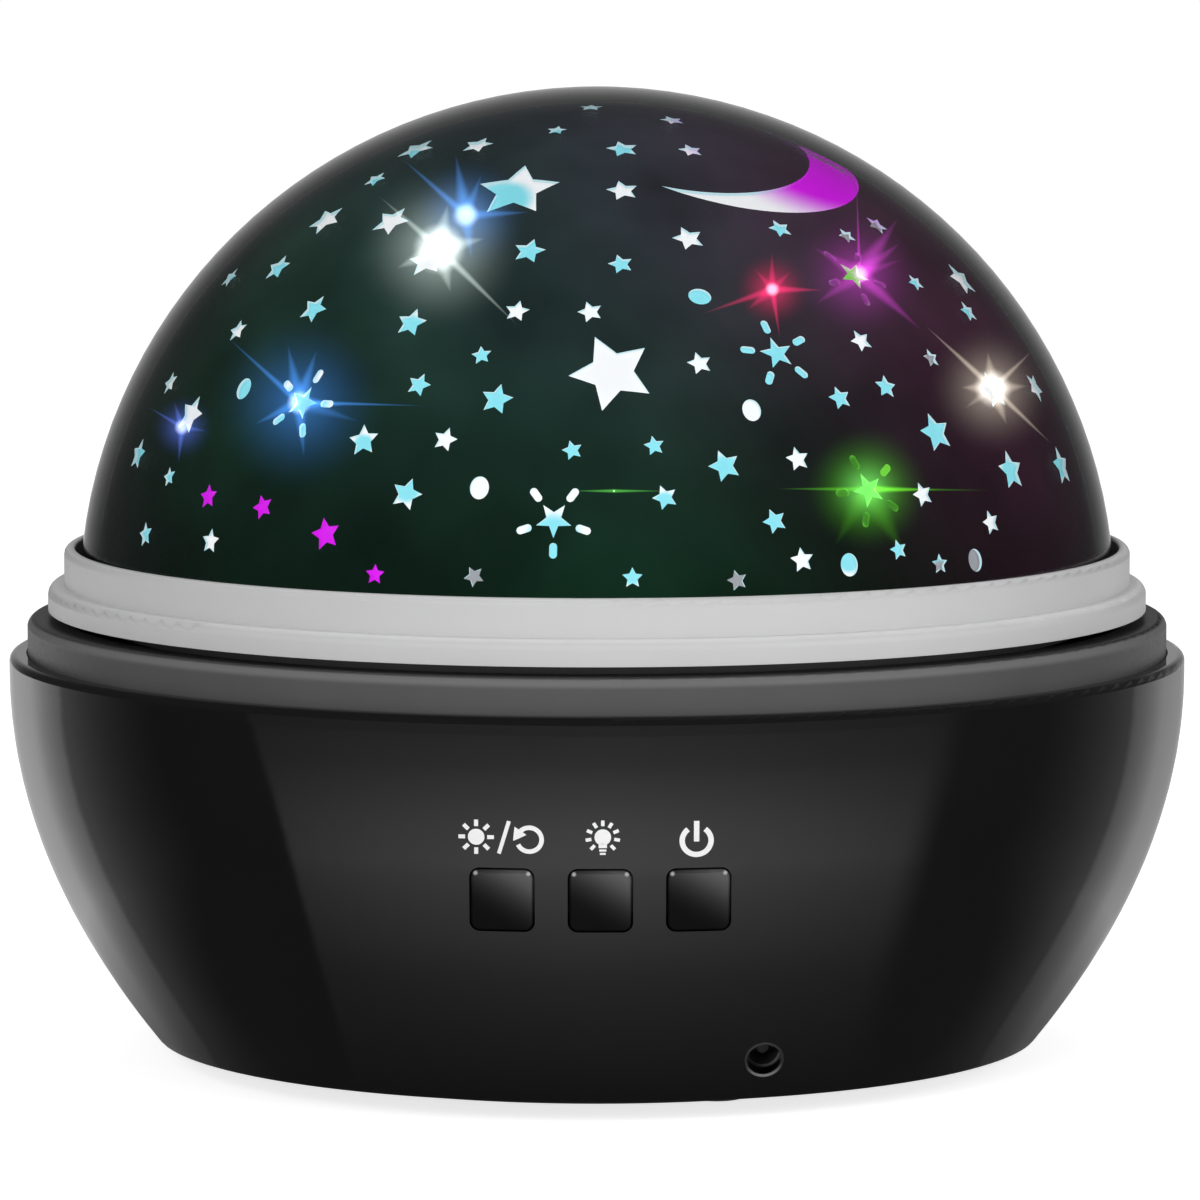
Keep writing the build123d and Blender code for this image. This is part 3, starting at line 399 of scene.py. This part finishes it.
# Colours seen in single windows: bearing, height, radius in millimetres
cyan_places = [
    (-21, 77, 1.6), (9, 71, 2.2), (-75, 66, 2.0), (-66, 61, 1.9), (-12, 50, 2.2), (4, 48, 1.9),
    (37, 53, 1.9), (60, 43, 1.6), (70, 38, 1.9), (33, 29, 1.9), (41, 30, 1.9), (-47, 40, 2.2),
    (-64, 44, 1.9), (-82, 42, 1.9), (-24, 31, 1.9), (-16, 35, 1.6), (-13, 29.5, 2.2), (-76, 19, 2.2),
    (-63, 17.5, 1.6), (-66, 10.5, 1.9), (-3, 23.5, 1.6), (7, 24, 1.6), (15.5, 20.6, 1.9), (21, 15, 1.9),
    (4, 9.6, 1.2), (37, 11, 1.6), (43, 9.4, 1.4), (47, 24, 2.7), (77, 17.5, 2.7), (16, 43, 2.0),
    (-53, 28.5, 1.6), (30, 10.4, 1.3), (25.5, 35, 4.6), (-22, 58.6, 3.2), (-28, 38, 1.7), (-30, 23.4, 1.1),
    (-23, 18.9, 1.5), (8, 17.2, 1.2), (60, 17.8, 1.8), (-5, 13, 2.6), (-41, 27, 3.2),
]
dim_places = [
    (52, 51, 1.6), (65, 52, 1.9), (52, 33, 1.6), (-14, 9, 1.6), (16, 8.5, 1.6), (49, 9, 1.8), (43, 8, 1.2),
]
glow_colours = [
    (MAGENTA, [(-53, 16, 1.9), (-43, 15.5, 1.9), (-33, 13, 2.3), (-26, 8.8, 1.6)]),
    (VIOLET, [(46, 45, 4.4)]),
    (GREEN, [(34, 18, 4.6), (45.8, 45, 1.7)]),
    (LEAF_GREEN, [(32.3, 20.7, 1.1), (30.7, 17.4, 1.1), (33.7, 14.8, 1.1), (37.0, 16.6, 1.1)]),
    (PALE_GREEN, [(34, 18, 2.0)]),
]
window_colours = [(CYAN, cyan_places), (DIM_GREY, dim_places), *glow_colours]
spot_edge, spot_full = 1.35, 0.8
moon_end, moon_from, moon_full = (88, 66), 0.96, 0.988
flattest_facing = 0.3


def dome_direction(graph):
    """Unit vector from the dome's centre to the shaded point, fixed to the dome itself."""
    return graph.vector("NORMALIZE", graph.vector("SUBTRACT", graph.coords(), tuple(dome_centre)))


def along(graph, place, direction):
    return graph.vector("DOT_PRODUCT", place, tuple(direction))


def moon_turn(graph, place):
    """0 over most of the dome, 1 under the moon's far end."""
    near = along(graph, place, bearing_axes(*drawn_in(*moon_end))[0])
    return graph.ramp(near, moon_from, moon_full, 0.0, 1.0, True)


def seen_under(bearing, height):
    """Where the line of sight from the front through a window meets the milky film, as a direction."""
    out = bearing_axes(*drawn_in(bearing, height))[0]
    facing = max(flattest_facing, -sight.dot(out))
    return (out * film_radius + (sight + out * facing) * film_depth / facing).normalized()


def spots(graph, place, places):
    """1 over the given places of the milky film, 0 away from them, with soft edges."""
    share = 0.0
    for bearing, height, radius in places:
        angle = radius * MM / film_radius
        near = along(graph, place, seen_under(bearing, height))
        spot = graph.ramp(near, math.cos(spot_edge * angle), math.cos(spot_full * angle), 0.0, 1.0, True)
        share = graph.math("MAXIMUM", share, spot)
    return share


def ray_light(graph, offset, unit, angle, length, width, level):
    """One ray of a flare, tapering away from its core."""
    c, s = math.cos(math.radians(angle)), math.sin(math.radians(angle))
    forth = along(graph, offset, (c, s, 0))
    across = graph.math("ABSOLUTE", along(graph, offset, (-s, c, 0)))
    ahead = graph.math("GREATER_THAN", forth, 0.0)
    fall = graph.math("MULTIPLY", graph.ramp(forth, 0.0, length * unit, 1.0, 0.0), ahead)
    wide = graph.math("MULTIPLY", fall, width * unit)
    return graph.math("MULTIPLY", graph.ramp(across, 0.0, wide, level, 0.0, True), fall)


def flare_light(graph, flat, bearing, height, color, core, halo, level, rays):
    """Core, soft halo and rays of one flare on the front plane, as a colour."""
    place = drawn_in(bearing, height) if abs(bearing) < 90 else (bearing, height)
    out = bearing_axes(*place)[0]
    offset = graph.vector("SUBTRACT", flat, (out.x, out.dot(view_up), 0))
    away = graph.vector("LENGTH", offset)
    unit = MM / film_radius
    hot = graph.ramp(away, core_from * core * unit, core_to * core * unit, core_gain, 0.0, True)
    shine = graph.math("POWER", graph.ramp(away, 0.0, halo * unit, 1.0, 0.0), halo_power)
    shine = graph.math("MULTIPLY", shine, level)
    for ray in rays:
        shine = graph.math("ADD", shine, ray_light(graph, offset, unit, *ray))
    pale = tuple(core_white + (1 - core_white) * c for c in color)
    return graph.vector("ADD", graph.scaled(color, shine), graph.scaled(pale, hot))


# Star film: black, with painted light: a faint glow of the lamps behind it, flares, and lit edges round its
# windows
film_glow = 1.7
edge_glow_color, edge_full, edge_none, film_foot = (0.62, 0.9, 0.95), 0.4, 0.7, 0.06


# Painted glow of the lamps behind the film, in slightly cloudy patches
def painted_lamp_glow(graph, place):
    total = (0.0, 0.0, 0.0)
    for bearing, height, narrow, color in lamp_glow_patches:
        near = graph.math("MAXIMUM", along(graph, place, bearing_axes(bearing, height)[0]), 0.0)
        total = graph.vector("ADD", total, graph.scaled(color, graph.math("POWER", near, float(narrow))))
    return graph.scaled(total, graph.cloud(place, 3.5, 0.6, 1.25, 2.0))


def edge_light(graph, place):
    """Painted glow of the window edges, as if lit from behind, and none on the faces and the foot of the
    film.
    """
    upright = graph.math("ABSOLUTE", graph.vector("DOT_PRODUCT", graph.coords("Normal"), place))
    above = graph.math("GREATER_THAN", along(graph, place, (0, 0, 1)), film_foot)
    wall = graph.math("MULTIPLY", graph.ramp(upright, edge_full, edge_none, 1.0, 0.0), above)
    edge = graph.blend(moon_turn(graph, place), edge_glow_color, MAGENTA)
    for color, places in glow_colours:
        edge = graph.blend(spots(graph, place, places), edge, color)
    return graph.scaled(edge, wall)


def star_film():
    mat = surface("film_dark", (0.004, 0.004, 0.0045), 0.3, 0.05, bump=0, Specular_IOR_Level=0.05)
    graph, shader = opened(mat)
    place = dome_direction(graph)
    total = graph.vector("ADD", painted_lamp_glow(graph, place), edge_light(graph, place))
    flat = graph.joined(along(graph, place, view_side), along(graph, place, view_up))
    ahead = along(graph, place, (0, -1, 0))
    for flare in flares:
        front = math.copysign(1.0, math.cos(math.radians(flare[0])))
        facing = graph.math("GREATER_THAN", graph.math("MULTIPLY", ahead, front), 0.0)
        total = graph.vector("ADD", total, graph.scaled(flare_light(graph, flat, *flare), facing))
    graph.put(total, shader.inputs["Emission Color"])
    shader.inputs["Emission Strength"].default_value = film_glow
    return mat


looks["film_dark"] = star_film()

# Milky film behind the windows, glowing with painted light of the lamps inside: white, coloured behind single
# windows and magenta under the moon's far end
milk_glow = 1.8


def light_film():
    mat = surface("film_colour", (0.35, 0.35, 0.35), 0.5, bump=0)
    graph, shader = opened(mat)
    place = dome_direction(graph)
    turn = graph.math("MULTIPLY", graph.math("SIGN", along(graph, place, (0, 1, 0))), -1.0)
    folded = graph.vector("MULTIPLY", place, graph.joined(turn, turn, 1.0))
    tone = graph.blend(moon_turn(graph, place), WHITE, MAGENTA)
    for color, places in window_colours:
        tone = graph.blend(spots(graph, folded, places), tone, color)
    graph.put(tone, shader.inputs["Emission Color"])
    shader.inputs["Emission Strength"].default_value = milk_glow
    return mat


looks["film_colour"] = light_film()

# Nodes that look other than the rest of their slot
own_looks = {
    # Painted shade: the turntable's rim, seen in the gap under the ring, made dark
    "turntable": surface("table_painted_shade", (0.13, 0.13, 0.132), 0.5, bump=0.08),
    # Painted light: the socket made paler so its shaded hole reads dark grey, not black
    "power_socket": surface("socket_painted_fill", (0.5, 0.5, 0.5), 0.5, bump=0.05),
    # Painted shade: the pin darkened so it stays dark deep in its hole
    "socket_pin": surface("pin_painted_shade", (0.1, 0.095, 0.09), 0.4, 0.08, stretch=(1, 12, 1), Metallic=1.0),
}
for part in frame["record"]["subparts"]:
    slots = nodes[part["node"]].data.materials
    slots.clear()
    slots.append(own_looks.get(part["node"], looks[part["material_slot"]]))

# Printed signs over the buttons, thin and laid on the bowl's curve, in millimetres
print_low, print_high = -0.02, 0.03
sign_z = 32.6


def bowl_at(z):
    """Outer radius of the bowl at a height, in millimetres."""
    square = curve_top - 2 * curve_turn + curve_low
    linear = 2 * (curve_turn - curve_top)
    rest = max(0.0, curve_top - z)
    share = 2 * rest / (-linear + math.sqrt(linear**2 - 4 * square * rest))
    return bowl_radius - (bowl_radius - bowl_floor_radius) * share**2


def on_bowl(x, z, lift):
    return Vector((x, -math.sqrt((bowl_at(z) + lift) ** 2 - x**2), z)) * MM


def band(bm, points, widths):
    """Closed thin band along points (x, z), as wide as the widths say."""
    rows = []
    for index, (x, z) in enumerate(points):
        after = points[min(index + 1, len(points) - 1)]
        before = points[max(index - 1, 0)]
        way = Vector((after[0] - before[0], after[1] - before[1])).normalized()
        half = widths[index] / 2
        sides = [(x - way.y * reach, z + way.x * reach) for reach in (-half, 0, half)]
        layers = (print_low, print_high)
        rows.append([[bm.verts.new(on_bowl(*side, lift)) for side in sides] for lift in layers])
    for row, following in zip(rows, rows[1:]):
        for now, then in zip(row, following):
            for left, right in ((0, 1), (1, 2)):
                bm.faces.new((now[left], now[right], then[right], then[left]))
        for edge in (0, 2):
            bm.faces.new((row[0][edge], row[1][edge], following[1][edge], following[0][edge]))
    for row in (rows[0], rows[-1]):
        bm.faces.new((row[0][0], row[0][1], row[0][2], row[1][2], row[1][1], row[1][0]))


def bar(bm, x0, z0, x1, z1, width, steps=4):
    points = [(x0 + (x1 - x0) * i / steps, z0 + (z1 - z0) * i / steps) for i in range(steps + 1)]
    band(bm, points, [width] * len(points))


def arc(bm, x, z, radius, start, end, width, steps=36):
    """Round stroke from one angle to another, in degrees from +X."""
    turns = [math.radians(start + (end - start) * i / steps) for i in range(steps + 1)]
    band(bm, [(x + radius * math.cos(t), z + radius * math.sin(t)) for t in turns], [width] * len(turns))


def disc(bm, x, z, radius, steps=24, blunt=0.02):
    """Filled round spot, drawn as a band that swells and narrows to blunt ends."""
    offsets = [-math.cos(math.pi * i / steps) * radius for i in range(steps + 1)]
    widths = [2 * math.sqrt(max(radius**2 - o**2, (blunt * radius) ** 2)) for o in offsets]
    band(bm, [(x, z + o) for o in offsets], widths)


def beams(bm, x, z, inner, outer, angles, width):
    for angle in angles:
        c, s = math.cos(math.radians(angle)), math.sin(math.radians(angle))
        bar(bm, x + inner * c, z + inner * s, x + outer * c, z + outer * s, width)


def sun_sign(bm, x=-12.5, radius=0.86):
    disc(bm, x, sign_z, radius)
    beams(bm, x, sign_z, inner=1.14, outer=1.84, angles=range(0, 360, 45), width=0.42)


def slash_sign(bm, low_x=-10.15, high_x=-9.1, half=1.75):
    bar(bm, low_x, sign_z - half, high_x, sign_z + half, width=0.4, steps=8)


def turn_sign(bm, x=-7.0, radius=1.28, drop=0.2, head=145, tail=-155):
    z = sign_z - drop
    arc(bm, x, z, radius, head, tail, width=0.48)
    c, s = math.cos(math.radians(head)), math.sin(math.radians(head))
    arrow = [(-0.25, 1.5), (0.2, 1.02), (0.7, 0.46), (1.05, 0.03)]
    points = [(x + radius * c - s * reach, z + radius * s + c * reach) for reach, _ in arrow]
    band(bm, points, [width for _, width in arrow])


def bulb_sign(bm, x=0.6, lift=0.1, radius=0.86):
    disc(bm, x, sign_z + lift, radius)
    neck = [(0.5, 1.05, 0.86, 4), (1.2, 1.42, 0.74, 2), (1.56, 1.78, 0.6, 2)]
    for top, bottom, width, steps in neck:
        bar(bm, x, sign_z - top, x, sign_z - bottom, width, steps)
    angles = [90 + a for a in (0, 32, -32, 66, -66, 100, -100, 136, -136)]
    beams(bm, x, sign_z + lift, inner=1.2, outer=1.8, angles=angles, width=0.36)


def power_sign(bm, x=10.3, radius=1.5, width=0.56):
    arc(bm, x, sign_z - 0.35, radius, start=126, end=414, width=width)
    bar(bm, x, sign_z - 0.45, x, sign_z + 1.75, width, steps=6)


ink = surface("ink_white", (0.82, 0.82, 0.82), 0.5, 0.06, 3000.0, tone=0.04, bump=0.05)
signs = {"sun": sun_sign, "slash": slash_sign, "turn": turn_sign, "bulb": bulb_sign, "power": power_sign}
for name, build in signs.items():
    mesh_piece("print_" + name, build, ink, "base", smooth=False)

# Rounded lip of the power socket's hole, in millimetres, with a painted highlight along its bottom
socket_x, socket_z = node_middle("power_socket").x / MM, node_middle("power_socket").z / MM
lip_radius, lip_tube, lip_steps, tube_steps = 1.95, 0.16, 48, 10
lip_highlight_reach, lip_highlight_tone = 1.55, (0.17, 0.17, 0.17)


def loop_faces(bm, rows, closed):
    """Faces between neighbouring rows of corners, and from the last row to the first."""
    for row, following in zip(rows, rows[1:] + rows[:1]):
        for step in range(len(row) if closed else len(row) - 1):
            after = (step + 1) % len(row)
            bm.faces.new((row[step], row[after], following[after], following[step]))


def socket_lip(bm):
    front = Vector((0, -1, 0))
    rows = []
    for index in range(lip_steps):
        turn = 2 * math.pi * index / lip_steps
        away = Vector((math.cos(turn), 0, math.sin(turn)))
        centre = on_bowl(socket_x + lip_radius * away.x, socket_z + lip_radius * away.z, 0.0)
        row = []
        for step in range(tube_steps):
            around = 2 * math.pi * step / tube_steps
            offset = away * math.cos(around) + front * math.sin(around)
            row.append(bm.verts.new(centre + offset * lip_tube * MM))
        rows.append(row)
    loop_faces(bm, rows, True)


# Painted highlight along the bottom of the lip
def lip_painted_highlight(graph, tone):
    z = graph.axes(graph.coords())[2]
    low = (socket_z - lip_radius) * MM
    return graph.blend(graph.ramp(z, low, low + lip_highlight_reach * MM, 1.0, 0.0, True), tone, lip_highlight_tone)


lip_look = surface("lip_black", (0.03, 0.03, 0.03), 0.35, 0.05, 1400.0, bump=0.01)
repaint(lip_look, lip_painted_highlight)
mesh_piece("socket_lip", socket_lip, lip_look, "base")

# Floor, which stays pale in the picture and in gloss and keeps the shadow
floor_size, floor_glow = 3.0, 0.75


def floor_mesh(bm):
    corners = [(-1, -1), (1, -1), (1, 1), (-1, 1)]
    bm.faces.new([bm.verts.new((x * floor_size, y * floor_size, 0)) for x, y in corners])


def seen_ray(graph):
    """1 for what the camera sees straight, in gloss or through clear plastic."""
    path = graph.node("LightPath")
    seen = graph.math("MAXIMUM", path.outputs["Is Camera Ray"], path.outputs["Is Glossy Ray"])
    return graph.math("MAXIMUM", seen, path.outputs["Is Transmission Ray"])


def floor_look():
    mat, graph, shader = new_material("floor_white")
    shader.inputs["Base Color"].default_value = (0.8, 0.8, 0.8, 1)
    shader.inputs["Roughness"].default_value = 0.9
    shader.inputs["Specular IOR Level"].default_value = 0.0
    shader.inputs["Emission Color"].default_value = (1, 1, 1, 1)
    graph.put(graph.math("MULTIPLY", seen_ray(graph), floor_glow), shader.inputs["Emission Strength"])
    return mat


floor = mesh_piece("floor", floor_mesh, floor_look(), None, smooth=False)

# Card lying round the lamp, seen only in its gloss: a pale pool in front, black beside it, paler to the back
card_inner, card_outer, card_lift, card_steps = 30.0 * MM, 720.0 * MM, 0.2 * MM, 72
# Edge of the pool, as a bearing that grows with the distance from the lamp, a little further on the right
pool_far, pool_pull, pool_shift, pool_lean = 1.316, 0.0854, 0.068, math.radians(2.5)
pool_blur = (math.radians(0.8), math.radians(4))
pool_gain, pool_fade, pool_dip = 1.12, 1.4, 0.62
# Light of the pool by distance from the lamp's middle, and of the card all over, near and far
pool_reach = 0.5
pool_profile = [
    (0.049, 0.0), (0.058, 0.1), (0.067, 0.22), (0.076, 0.45), (0.104, 1.0), (0.125, 0.9), (0.157, 0.68),
    (0.224, 0.42), (0.34, 0.28), (0.48, 0.18),
]
base_span, base_light = (0.05, 0.11), (0.035, 0.02)
# Paler rear: its edge as a bearing, the soft rise before it, and steps past it as degrees and light
rear_far, rear_pull = 2.22, 0.0567
rise_span, rise_width = (0.06, 0.1), (math.radians(-16), math.radians(-31))
rise_end, rise_power, rise_light = math.radians(-2), 1.3, 0.31
rear_steps = [(2, 0.27), (16, 0.42)]
rear_fade_span, rear_fade = (math.radians(18), math.radians(34)), 0.6
rear_foot_span, rear_foot = (0.05, 0.085), 0.15
rear_right, rear_blend = 0.74, 0.06


def card_mesh(bm):
    rows = []
    for index in range(card_steps):
        turn = 2 * math.pi * index / card_steps
        way = Vector((math.sin(turn), -math.cos(turn), 0))
        rows.append([bm.verts.new(way * r + Vector((0, 0, card_lift))) for r in (card_inner, card_outer)])
    loop_faces(bm, rows, False)


def glow_only(name):
    """Material with nothing but its glow, and that glow's strength socket."""
    mat, graph, shader = new_material(name)
    mat.node_tree.nodes.remove(shader)
    glow = graph.node("Emission")
    graph.put(glow.outputs[0], mat.node_tree.nodes["Material Output"].inputs[0])
    return mat, graph, glow.inputs[1]


def pool_light(graph, x, bearing, away):
    """Light of the pale pool in front, sharper at its left edge."""
    right = graph.math("GREATER_THAN", x, 0.0)
    pull = graph.math("DIVIDE", pool_pull, graph.math("ADD", away, pool_shift))
    edge = graph.math("MULTIPLY_ADD", right, pool_lean, graph.math("SUBTRACT", pool_far, pull))
    blur = graph.ramp(right, 0.0, 1.0, *pool_blur)
    past = graph.math("SUBTRACT", bearing, edge)
    pool = graph.ramp(past, graph.math("MULTIPLY", blur, -1.0), blur, pool_gain, 0.0, True)
    fade = graph.math("POWER", graph.math("DIVIDE", bearing, edge), pool_fade)
    pool = graph.math("MULTIPLY", pool, graph.ramp(fade, 0.0, 1.0, 1.0, 1.0 - pool_dip))
    curve = graph.node("ValToRGB")
    stops = curve.color_ramp.elements
    while len(stops) < len(pool_profile):
        stops.new(1.0)
    for stop, (place, value) in zip(stops, pool_profile):
        stop.position = place / pool_reach
        stop.color = (value, value, value, 1)
    graph.put(graph.math("DIVIDE", away, pool_reach), curve.inputs[0])
    return graph.math("MULTIPLY", pool, curve.outputs[0])


def rear_light(graph, x, bearing, away):
    """Light of the paler rear, a little dimmer on the right."""
    line = graph.math("SUBTRACT", rear_far, graph.math("DIVIDE", rear_pull, away))
    past = graph.math("SUBTRACT", bearing, line)
    rise = graph.ramp(past, graph.ramp(away, *rise_span, *rise_width), rise_end)
    light = graph.math("MULTIPLY", graph.math("POWER", rise, rise_power), rise_light)
    for reach, gain in rear_steps:
        light = graph.math("MULTIPLY_ADD", graph.ramp(past, 0.0, math.radians(reach)), gain, light)
    light = graph.math("MULTIPLY", light, graph.ramp(past, *rear_fade_span, 1.0, rear_fade))
    light = graph.math("MULTIPLY", light, graph.ramp(away, *rear_foot_span, rear_foot, 1.0))
    return graph.math("MULTIPLY", light, graph.ramp(x, -rear_blend, rear_blend, 1.0, rear_right))


def card_look():
    mat, graph, strength = glow_only("card_pool")
    coords = graph.coords()
    x, y, _ = graph.axes(coords)
    away = graph.vector("LENGTH", coords)
    ahead = graph.math("MULTIPLY", y, -1.0)
    bearing = graph.math("ABSOLUTE", graph.math("ARCTAN2", x, ahead))
    light = graph.math("ADD", pool_light(graph, x, bearing, away), rear_light(graph, x, bearing, away))
    graph.put(graph.math("ADD", light, graph.ramp(away, *base_span, *base_light)), strength)
    return mat


# Dim studio walls, which the dome mirrors, paler at the back
wall_from, wall_power, wall_rise, wall_light = 0.68 * card_outer, 3.0, 0.5, 0.052


def surround_mesh(bm):
    bmesh.ops.create_uvsphere(bm, u_segments=48, v_segments=24, radius=card_outer)


def surround_look():
    mat, graph, strength = glow_only("surround_dim")
    coords = graph.coords()
    back = graph.ramp(graph.axes(coords)[1], wall_from, card_outer)
    light = graph.math("MULTIPLY_ADD", graph.math("POWER", back, wall_power), wall_rise, wall_light)
    graph.put(graph.math("MULTIPLY", light, graph.cloud(coords, 2.0, 0.9, 1.1)), strength)
    return mat


def gloss_only(piece, through):
    """Leaves a staged piece to gloss, and where asked to clear plastic, and to nothing else."""
    for kind in ("camera", "diffuse", "shadow", "volume_scatter"):
        setattr(piece, "visible_" + kind, False)
    piece.visible_transmission = through


gloss_only(mesh_piece("card", card_mesh, card_look(), None, smooth=False), False)
gloss_only(mesh_piece("surround", surround_mesh, surround_look(), None), True)

# Studio: white for what is seen, plain soft light for the rest
soft_light, seen_light = 0.36, 1.0
lamp_aim = Vector((0, 0, 0.05))


def studio_world():
    world = bpy.data.worlds.new("studio")
    bpy.context.scene.world = world
    world.use_nodes = True
    graph = Graph(world.node_tree)
    back = world.node_tree.nodes["Background"]
    graph.put(graph.ramp(seen_ray(graph), 0.0, 1.0, soft_light, seen_light), back.inputs["Strength"])
    back.inputs["Color"].default_value = (1, 1, 1, 1)


def lamp(name, place, size, watts):
    data = bpy.data.lights.new(name, "AREA")
    data.size = size
    data.energy = watts
    made = bpy.data.objects.new(name, data)
    bpy.context.scene.collection.objects.link(made)
    made.location = place
    made.rotation_euler = (lamp_aim - Vector(place)).to_track_quat("-Z", "Y").to_euler()
    made.visible_glossy = False
    made.visible_transmission = False


studio_world()
lamp("key", place=(-0.45, -1.1, 0.4), size=0.7, watts=8.0)
lamp("fill", place=(0.95, -0.75, 0.4), size=0.7, watts=6.8)
lamp("top", place=(0.0, 0.3, 1.1), size=0.9, watts=1.0)

# Camera, a long lens a little above the lamp
camera = bpy.data.objects.new("camera", bpy.data.cameras.new("camera"))
bpy.context.scene.collection.objects.link(camera)
camera.location = (0, -0.9, 0.146)
camera.rotation_euler = (math.radians(90 - view_height), 0, 0)
camera.data.sensor_width = 36.0
camera.data.lens = 245.0
camera.data.shift_x = 0.0025
camera.data.shift_y = -0.00625
camera.data.clip_end = 20.0
bpy.context.scene.camera = camera
bpy.context.scene.view_settings.view_transform = "Standard"
